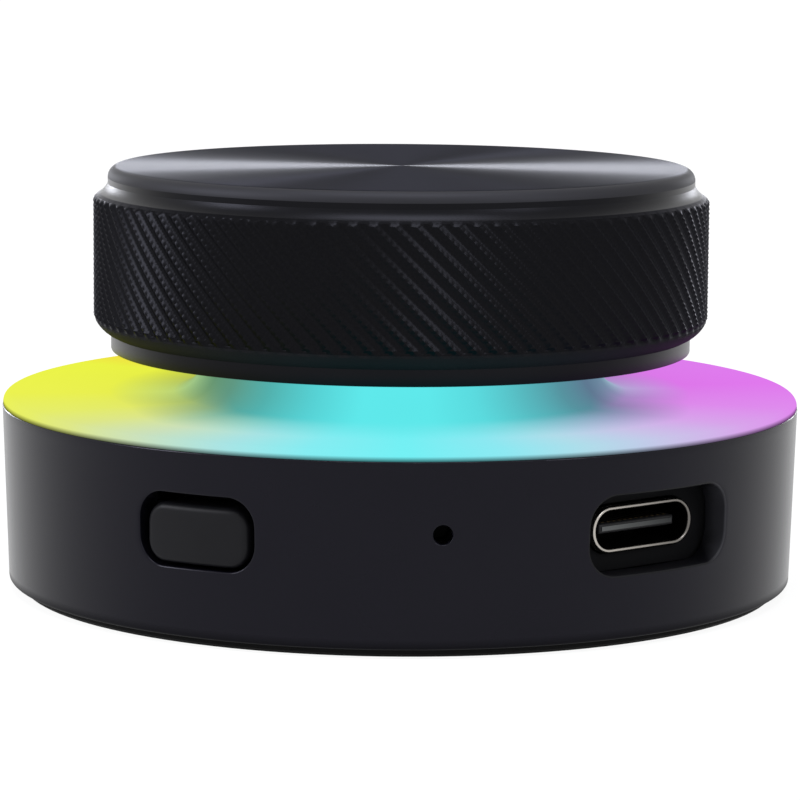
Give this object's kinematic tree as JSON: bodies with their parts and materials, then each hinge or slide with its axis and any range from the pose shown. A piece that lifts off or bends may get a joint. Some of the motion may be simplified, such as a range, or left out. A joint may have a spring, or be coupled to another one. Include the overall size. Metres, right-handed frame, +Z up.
{
  "type": "usb volume control knob",
  "caption": "Round table-top volume controller: knurled metal knob that turns and presses above a low black drum with a glowing top, a side button, a pinhole and a USB-C port.",
  "frame": {"origin": "centre of the foot's underside, on the table", "axes": "+Z up along the knob's axis, -Y towards the front, where the pinhole is; the button is to the left of it (-X) and the port to the right (+X)"},
  "size_m": [0.057, 0.057, 0.0301],
  "materials": {
    "black_paint": "satin black paint",
    "black_anodised": "black anodised, knurled grip, spun top",
    "black_plastic": "matte black moulding",
    "silicone": "matte silicone",
    "steel": "plated steel",
    "brass": "plated",
    "circuit_board": "glass-fibre board with a dark green mask",
    "chip_resin": "moulded resin",
    "ceramic_body": "fired ceramic",
    "dark_insulator": "moulded insulator",
    "white_plastic": "moulded",
    "frosted_guide": "frosted, lit from below in a wheel of colours",
    "led_white": "lit"
  },
  "bodies": {
    "base": {"ballast_ring": "steel", "base_housing": "black_paint", "board_capacitors": "ceramic_body", "board_crystal": "ceramic_body", "board_link": "black_plastic", "board_screw_1": "steel", "board_screw_2": "steel", "board_screw_3": "steel", "bottom_cover": "black_plastic", "controller_chip": "chip_resin", "cover_screw_1": "steel", "cover_screw_2": "steel", "cover_screw_3": "steel", "encoder_bushing": "steel", "encoder_case": "black_plastic", "encoder_clip": "steel", "encoder_nut": "steel", "encoder_pins": "brass", "encoder_washer": "steel", "foot_pad": "silicone", "led_1": "led_white", "led_2": "led_white", "led_3": "led_white", "led_4": "led_white", "led_5": "led_white", "led_6": "led_white", "led_7": "led_white", "led_8": "led_white", "led_board": "circuit_board", "led_screw_1": "steel", "led_screw_2": "steel", "led_screw_3": "steel", "led_spacer_1": "brass", "led_spacer_2": "brass", "led_spacer_3": "brass", "light_guide": "frosted_guide", "main_board": "circuit_board", "mode_switch_body": "black_plastic", "port_bezel": "black_plastic", "push_dome": "steel", "reset_switch_body": "black_plastic", "usb_port_contacts": "brass", "usb_port_shell": "steel", "usb_port_tongue": "dark_insulator", "voltage_regulator": "chip_resin"},
    "rotor": {"encoder_rotor": "white_plastic", "encoder_wiper": "brass"},
    "knob": {"knob_shell": "black_anodised", "knob_hub": "white_plastic", "encoder_shaft": "steel", "shaft_snap_ring": "steel"},
    "plunger": {"push_plunger": "white_plastic"},
    "mode_button": {"mode_button_cap": "black_plastic", "mode_switch_stem": "white_plastic"},
    "reset": {"reset_stem": "white_plastic"}
  },
  "joints": [
    {"name": "knob_turn", "type": "hinge", "parent": "base", "child": "rotor", "pos_m": [0, 0, 0.0098], "axis": [0, 0, 1], "continuous": true},
    {"name": "knob_press", "type": "slide", "parent": "rotor", "child": "knob", "axis": [0, 0, -1], "range_m": [0, 0.0005], "stiffness_N_per_m": 6000, "springref_m": -0.0002},
    {"name": "plunger_press", "type": "slide", "parent": "base", "child": "plunger", "axis": [0, 0, -1], "range_m": [0, 0.0005], "deforming": ["push_dome"]},
    {"name": "mode_button_press", "type": "slide", "parent": "base", "child": "mode_button", "axis": [0.565, 0.8251, 0], "range_m": [0, 0.00035], "stiffness_N_per_m": 4000, "springref_m": -0.00005},
    {"name": "reset_press", "type": "slide", "parent": "base", "child": "reset", "axis": [0, 1, 0], "range_m": [0, 0.00025], "stiffness_N_per_m": 4000, "springref_m": -0.00005}
  ],
  "couplings": [
    {"joint": "plunger_press", "follows": "knob_press", "ratio": 1}
  ]
}
